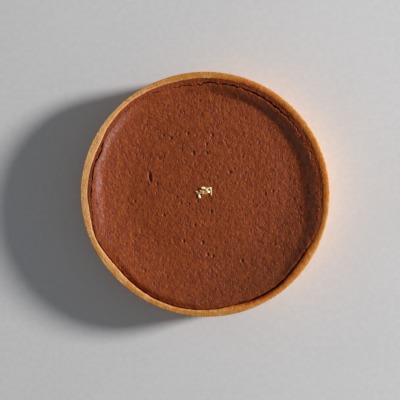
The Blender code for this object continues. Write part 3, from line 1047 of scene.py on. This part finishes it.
grid = np.arange(len(sheet)).reshape(len(steps), len(steps))
squares = np.stack((grid[:-1, :-1], grid[:-1, 1:], grid[1:, 1:], grid[1:, :-1]), axis=-1).reshape(-1, 4)
squares = squares[depth[squares].min(axis=1) > -OUTSIDE_KEPT]
used, leaf_faces = np.unique(squares, return_inverse=True)
leaf_faces = leaf_faces.reshape(-1, 4).tolist()
sheet = sheet[used]

nearness = np.exp(np.array([lobe_depth(sheet, lobe) for lobe in LEAF_LOBES]) / LOBE_BLEND)
nearness /= nearness.sum(axis=0)
lobes = np.array(LEAF_LOBES)
middles = 0.5 * (lobes[:, 0] + lobes[:, 2])
lean = (nearness * lobes[:, LOBE_LEAN, None] * (middles[:, None] - sheet[:, 0])).sum(axis=0)
gold_highlight = (nearness * lobes[:, LOBE_HIGHLIGHT, None]).sum(axis=0)

flat = np.column_stack((sheet, np.zeros(len(sheet)))) * MM
folds = FOLD_HEIGHT * rough(flat, FOLD_LENGTH)
folds += CREASE_HEIGHT * np.abs(rough(flat, CREASE_LENGTH, 6.9))
flat[:, 2] = middle_height(flat) + LEAF_LIFT + lean * MM + folds
leaf = new_piece("crumpled_leaf", flat, leaf_faces)
store(leaf, "gold_highlight", np.clip(gold_highlight, 0.0, 1.0))
thicken = leaf.modifiers.new("thickness", "SOLIDIFY")
thicken.thickness = LEAF_THICKNESS
thicken.offset = 1.0
print(f"leaf: {len(leaf_faces)} faces, top at {flat[:, 2].max() / MM:.2f} mm")

# %% [markdown]
# ## Node groups
#
# All three finishes need uneven colour and a fine grain, at different sizes. A node group is
# built once, with named inputs and outputs, and each material places it with its own values.
# The groups read Object coordinates, so nothing swims when the camera moves.

# %% Small helpers for nodes


class NodeBench:
    """Adds and links nodes in one tree, so that each line reads as one step."""

    def __init__(self, tree):
        self.tree = tree

    def add(self, kind, settings=None, **inputs):
        node = self.tree.nodes.new(kind)
        for name, value in (settings or {}).items():
            setattr(node, name, value)
        return self.fill(node, **inputs)

    def fill(self, node, **inputs):
        """Puts values and links on the node's own inputs, with _ for each space in a name."""
        for name, value in inputs.items():
            self.put(node.inputs[name.replace("_", " ")], value)
        return node

    def put(self, socket, value):
        if isinstance(value, bpy.types.NodeSocket):
            self.tree.links.new(value, socket)
        else:
            socket.default_value = value

    def maths(self, operation, first, second=0.0, third=0.0):
        node = self.add("ShaderNodeMath", {"operation": operation})
        for socket, value in zip(node.inputs, (first, second, third)):
            self.put(socket, value)
        return node.outputs[0]

    def blend(self, share, first, second, way="MIX"):
        node = self.add("ShaderNodeMix", {"data_type": "RGBA", "blend_type": way})
        return self.fill(node, Factor=share, A=first, B=second).outputs["Result"]

    def spread(self, value, low, high, first=0.0, second=1.0):
        """Maps low..high to first..second, smoothly and with both ends held."""
        node = self.add("ShaderNodeMapRange", {"interpolation_type": "SMOOTHSTEP"})
        for socket, number in zip(node.inputs, (value, low, high, first, second)):
            self.put(socket, number)
        return node.outputs[0]

    def texture(self, kind, place, size, **inputs):
        """A pattern whose bumps or cells are about this long."""
        return self.add(kind, Vector=place, Scale=self.maths("DIVIDE", 1.0, size), **inputs).outputs


def new_group(name, inputs, outputs):
    """A shader node group with number inputs (and a Vector) and number outputs."""
    group = bpy.data.node_groups.new(name, "ShaderNodeTree")
    group.interface.new_socket("Vector", in_out="INPUT", socket_type="NodeSocketVector")
    for label, value in inputs.items():
        socket = group.interface.new_socket(label, in_out="INPUT", socket_type="NodeSocketFloat")
        socket.default_value = value
    for label in outputs:
        group.interface.new_socket(label, in_out="OUTPUT", socket_type="NodeSocketFloat")
    bench = NodeBench(group)
    return bench, bench.add("NodeGroupInput").outputs, bench.add("NodeGroupOutput")


print("node groups so far:", len(bpy.data.node_groups))

# %% Uneven colour from the oven
PATCH_SHARE, FLECK_SHARE = 0.4, 0.6
BAKE_RANGE = (0.36, 0.64)

bench, given, result = new_group("uneven_bake", {"Patch Size": 0.02, "Fleck Size": 0.002}, ("Value",))
patches = bench.texture("ShaderNodeTexNoise", given["Vector"], given["Patch Size"], Detail=3.0)
flecks = bench.texture("ShaderNodeTexNoise", given["Vector"], given["Fleck Size"], Detail=2.0)
some_flecks = bench.maths("MULTIPLY", flecks["Fac"], FLECK_SHARE)
both = bench.maths("MULTIPLY_ADD", patches["Fac"], PATCH_SHARE, some_flecks)
bench.fill(result, Value=bench.spread(both, *BAKE_RANGE))
print("group:", bench.tree.name)

# %% Fine pores
# in cells: the smallest pore, how much larger the largest is, and how deep it is before it is dark
LEAST_PORE, PORE_GROWTH, PORE_SOFT = 0.22, 0.25, 0.7

bench, given, result = new_group("open_pores", {"Pore Size": 0.0012, "Share": 0.5}, ("Mask", "Height"))
cells = bench.texture("ShaderNodeTexVoronoi", given["Vector"], given["Pore Size"])
lot = bench.add("ShaderNodeSeparateColor", Color=cells["Color"]).outputs
chosen = bench.maths("LESS_THAN", lot[0], given["Share"])
wide = bench.maths("MULTIPLY_ADD", lot[1], PORE_GROWTH, LEAST_PORE)
inside = bench.maths("SUBTRACT", 1.0, bench.maths("DIVIDE", cells["Distance"], wide))
mask = bench.maths("MULTIPLY", bench.spread(inside, 0.0, PORE_SOFT), chosen)
bench.fill(result, Mask=mask, Height=bench.maths("MULTIPLY", mask, -1.0))
print("group:", bench.tree.name)

# %% Crumb
LUMP_DEPTH = 0.5

bench, given, result = new_group("crumb_grain", {"Grain Size": 0.001}, ("Height",))
coarse = bench.texture("ShaderNodeTexNoise", given["Vector"], given["Grain Size"], Detail=4.0)
lumps = bench.texture("ShaderNodeTexVoronoi", given["Vector"], given["Grain Size"])
bench.fill(result, Height=bench.maths("MULTIPLY_ADD", lumps["Distance"], -LUMP_DEPTH, coarse["Fac"]))
print("group:", bench.tree.name)

# %% [markdown]
# ## The chocolate finish
#
# A baked chocolate skin is a warm red-brown, satin rather than shiny, and lighter where cocoa
# fat has bloomed. Pores and bubbles are painted darker inside, as painted shade. The torn collar
# is crumbly and more orange, and the crack is painted nearly black: painted shade, as hardly
# any light gets in between its moist walls.

# %% Chocolate material


def new_finish(name):
    """A material with a Principled BSDF, and a bench to work at."""
    material = bpy.data.materials.new(name)
    material.use_nodes = True
    bench = NodeBench(material.node_tree)
    shader = material.node_tree.nodes["Principled BSDF"]
    place = bench.add("ShaderNodeTexCoord").outputs["Object"]
    return material, bench, shader, place


def use_group(bench, name, place, **inputs):
    node = bench.add("ShaderNodeGroup", {"node_tree": bpy.data.node_groups[name]})
    return bench.fill(node, Vector=place, **inputs).outputs


def stored(bench, name):
    return bench.add("ShaderNodeAttribute", {"attribute_name": name}).outputs["Fac"]


def raise_surface(bench, shader, height):
    """Bump from a height in metres."""
    bump = bench.add("ShaderNodeBump", Strength=1.0, Distance=1.0, Height=height)
    bench.fill(shader, Normal=bump.outputs["Normal"])


CHOCOLATE_DARK = (0.242, 0.040, 0.0035, 1.0)
CHOCOLATE_LIGHT = (0.350, 0.066, 0.0055, 1.0)
CHOCOLATE_RED = (0.243, 0.037, 0.0065, 1.0)
# darker inside pores and bubbles: painted shade
CHOCOLATE_PORE_SHADE = (0.110, 0.015, 0.0030, 1.0)
CHOCOLATE_DARK_SIDE = (0.780, 0.800, 0.860, 1.0)
CHOCOLATE_COLLAR = (0.300, 0.048, 0.0060, 1.0)
# nearly black: painted shade in the crack, the gap and the deepest dents, also used for the darker collar
# on the hot side
CHOCOLATE_CRACK = (0.016, 0.005, 0.003, 1.0)
SKIN_STRETCH = (1.0, 0.72, 1.0)
RED_PER_METRE = 420.0
RED_RANGE = (0.46, 0.64)
PORE_SHADE = 0.30
BUBBLE_SHADE = 0.40
COLLAR_TINT = 0.80
SKIN_GRAIN = 0.22 * MM
SKIN_PORES = 0.24 * MM
CRACK_FULL = 0.7
# of rough and of smooth skin, and what the collar adds
SKIN_ROUGHNESS = (0.50, 0.46)
COLLAR_ROUGHER = 0.35

chocolate, bench, shader, place = new_finish("baked_chocolate")
stretched = bench.add("ShaderNodeMapping", Vector=place, Scale=SKIN_STRETCH).outputs[0]
bake = use_group(bench, "uneven_bake", stretched, Patch_Size=0.006, Fleck_Size=0.0015)["Value"]
pores = use_group(bench, "open_pores", stretched, Pore_Size=0.0016, Share=0.6)
grain = use_group(bench, "crumb_grain", stretched, Grain_Size=0.0008)["Height"]
red = bench.add("ShaderNodeTexNoise", Vector=stretched, Scale=RED_PER_METRE, Detail=2.0).outputs["Fac"]
smooth_skin = stored(bench, "smooth_skin")
rough_skin = bench.maths("SUBTRACT", 1.0, smooth_skin)
colour = bench.blend(bake, CHOCOLATE_DARK, CHOCOLATE_LIGHT)
colour = bench.blend(bench.spread(red, *RED_RANGE), colour, CHOCOLATE_RED)
# Painted shade: pores and deep bubbles are painted darker inside.
pore_painted_shade = bench.maths("MULTIPLY", bench.maths("MULTIPLY", pores["Mask"], PORE_SHADE), rough_skin)
colour = bench.blend(pore_painted_shade, colour, CHOCOLATE_PORE_SHADE)
in_bubble = bench.maths("MULTIPLY", stored(bench, "in_bubble"), BUBBLE_SHADE)
colour = bench.blend(in_bubble, colour, CHOCOLATE_PORE_SHADE)
# Darker toward the lower right.
toward_dark_side = bench.spread(stored(bench, "toward_dark_side"), 0.5, 1.0)
colour = bench.blend(toward_dark_side, colour, CHOCOLATE_DARK_SIDE, "MULTIPLY")
on_collar = stored(bench, "on_collar")
colour = bench.blend(bench.maths("MULTIPLY", on_collar, COLLAR_TINT), colour, CHOCOLATE_COLLAR)
# Painted shade: the crack, the gap and the deepest dents go nearly black.
in_crack = bench.spread(stored(bench, "in_crack"), 0.0, CRACK_FULL)
colour = bench.blend(in_crack, colour, CHOCOLATE_CRACK)
skin_rough = bench.spread(smooth_skin, 0.2, 0.9, *SKIN_ROUGHNESS)
roughness = bench.maths("MULTIPLY_ADD", on_collar, COLLAR_ROUGHER, skin_rough)
bench.fill(shader, Base_Color=colour, Roughness=roughness, Specular_IOR_Level=0.34)
bench.fill(shader, Coat_Weight=smooth_skin, Coat_Roughness=0.48, Coat_IOR=1.8)
pore_depth = bench.maths("MULTIPLY", rough_skin, SKIN_PORES)
height = bench.maths("MULTIPLY", grain, SKIN_GRAIN)
raise_surface(bench, shader, bench.maths("MULTIPLY_ADD", pores["Height"], pore_depth, height))
print("material:", chocolate.name)

# %% [markdown]
# ## The pastry finish
#
# Shortcrust browns from cream to gold, then amber, then burnt syrup. One side of the oven was
# hotter: the right side of the rim is amber where syrup from the filling boiled against it,
# while the left is cream. Two masks kept on the mesh lead through the four colours in turn.

# %% Pastry material
PASTRY_CREAM = (0.800, 0.425, 0.170, 1.0)
PASTRY_GOLD = (0.580, 0.215, 0.024, 1.0)
PASTRY_AMBER = (0.640, 0.160, 0.014, 1.0)
PASTRY_BURNT = (0.280, 0.048, 0.009, 1.0)
# where each colour starts and where it is full
GOLD_RANGE = (-0.1, 1.1)
AMBER_RANGE = (0.0, 0.55)
BURNT_RANGE = (0.45, 1.0)
PASTRY_ROUGHNESS = (0.62, 0.78)
MOTTLE = 0.22
CARAMEL_MOTTLE = 0.35
PASTRY_PORE_SHADE = 0.20
PASTRY_GRAIN = 0.22 * MM
PASTRY_PORES = 0.16 * MM

pastry_finish, bench, shader, place = new_finish("baked_shortcrust")
bake = use_group(bench, "uneven_bake", place, Patch_Size=0.006, Fleck_Size=0.0013)["Value"]
grain = use_group(bench, "crumb_grain", place, Grain_Size=0.0011)["Height"]
pores = use_group(bench, "open_pores", place, Pore_Size=0.0020, Share=0.35)
mottle = bench.spread(bake, 0.0, 1.0, MOTTLE, -MOTTLE)
gold_share = bench.maths("ADD", stored(bench, "gold"), mottle)
colour = bench.blend(bench.spread(gold_share, *GOLD_RANGE), PASTRY_CREAM, PASTRY_GOLD)
caramel = bench.maths("ADD", stored(bench, "caramel"), bench.maths("MULTIPLY", mottle, CARAMEL_MOTTLE))
colour = bench.blend(bench.spread(caramel, *AMBER_RANGE), colour, PASTRY_AMBER)
colour = bench.blend(bench.spread(caramel, *BURNT_RANGE), colour, PASTRY_BURNT)
colour = bench.blend(bench.maths("MULTIPLY", pores["Mask"], PASTRY_PORE_SHADE), colour, PASTRY_AMBER)
roughness = bench.spread(bake, 0.0, 1.0, *PASTRY_ROUGHNESS)
bench.fill(shader, Base_Color=colour, Roughness=roughness, Specular_IOR_Level=0.16)
height = bench.maths("MULTIPLY", grain, PASTRY_GRAIN)
raise_surface(bench, shader, bench.maths("MULTIPLY_ADD", pores["Height"], PASTRY_PORES, height))
print("material:", pastry_finish.name)

# %% [markdown]
# ## The gold finish
#
# Real gold is a metal, so its colour is in its reflection and it has no diffuse colour of its
# own. Lobes that lean to the window get a paler gold, a painted highlight. The finest wrinkles
# are too small for the mesh, and come from bump.

# %% Gold material
GOLD_DEEP = (1.00, 0.57, 0.15, 1.0)
# paler gold: a painted highlight on lobes that lean to the window
GOLD_HIGHLIGHT = (1.00, 0.79, 0.50, 1.0)
GOLD_GRAIN = 0.04 * MM
GOLD_ROUGHNESS = (0.42, 0.52)

gold, bench, shader, place = new_finish("beaten_gold")
bake = use_group(bench, "uneven_bake", place, Patch_Size=0.002, Fleck_Size=0.0005)["Value"]
grain = use_group(bench, "crumb_grain", place, Grain_Size=0.0005)["Height"]
# Painted highlight: lobes that lean to the window get the paler gold.
colour = bench.blend(stored(bench, "gold_highlight"), GOLD_DEEP, GOLD_HIGHLIGHT)
roughness = bench.spread(bake, 0.0, 1.0, *GOLD_ROUGHNESS)
bench.fill(shader, Base_Color=colour, Roughness=roughness, Metallic=1.0)
raise_surface(bench, shader, bench.maths("MULTIPLY", grain, GOLD_GRAIN))
print("material:", gold.name)

# %% [markdown]
# ## Put each piece on the model
#
# A piece rides on the one rigid body and stands for the solid that it covers. The solid is
# then hidden from view and stays in the simulation.

# %% Dress the solids
for piece, node, finish, slot in (
    (pastry, "pastry_shell", pastry_finish, "baked_pastry"),
    (filling, "chocolate_filling", chocolate, "chocolate_custard"),
    (leaf, "gold_leaf", gold, "gold_leaf"),
):
    piece.data.materials.append(finish)
    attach(piece, "root")
    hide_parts(node)
    print(piece.name, "stands for", node)

# %% [markdown]
# ## Floor and light
#
# The light comes low from the right, as through a window, so every pore has a bright and a
# dark side, and the lip throws a long shadow on the sunken side. A dim, slightly blue sky
# fills the shadows. The view transform is Standard, so the colours come out as set.

# %% Floor
FLOOR_COLOUR = (0.70, 0.70, 0.715, 1.0)
FLOOR_SHADE = (0.665, 0.665, 0.68, 1.0)
FLOOR_SIZE = 4.0

bpy.ops.mesh.primitive_plane_add(size=FLOOR_SIZE)
floor = bpy.context.object
floor.name = "pale_floor"
floor.location.z = cad_low.z
floor_finish, bench, shader, place = new_finish("matt_floor")
shade = use_group(bench, "uneven_bake", place, Patch_Size=0.09, Fleck_Size=0.004)["Value"]
bench.fill(shader, Base_Color=bench.blend(shade, FLOOR_COLOUR, FLOOR_SHADE), Roughness=0.9)
floor.data.materials.append(floor_finish)
print("floor at", round(floor.location.z, 4))

# %% Window light and sky
WINDOW_TURN = 12.0
WINDOW_RISE = 22.0
WINDOW_DISTANCE = 3.0
WINDOW_SIZE = 0.52
WINDOW_POWER = 135.0
WINDOW_COLOUR = (1.0, 0.98, 0.96)
SKY_COLOUR = (0.92, 0.96, 1.0, 1.0)
SKY_STRENGTH = 0.2

window_data = bpy.data.lights.new("window", "AREA")
window_data.shape = "DISK"
window_data.size = WINDOW_SIZE
window_data.energy = WINDOW_POWER
window_data.color = WINDOW_COLOUR
window = bpy.data.objects.new("window", window_data)
rise, side = math.radians(WINDOW_RISE), math.radians(WINDOW_TURN)
aim = Vector((math.cos(rise) * math.cos(side), math.cos(rise) * math.sin(side), math.sin(rise)))
window.location = WINDOW_DISTANCE * aim
window.rotation_euler = aim.to_track_quat("Z", "Y").to_euler()
bpy.context.scene.collection.objects.link(window)

sky = bpy.data.worlds.new("soft_sky")
sky.use_nodes = True
background = sky.node_tree.nodes["Background"]
background.inputs["Color"].default_value = SKY_COLOUR
background.inputs["Strength"].default_value = SKY_STRENGTH
bpy.context.scene.world = sky
bpy.context.scene.view_settings.view_transform = "Standard"
print("window at", [round(value, 2) for value in window.location])
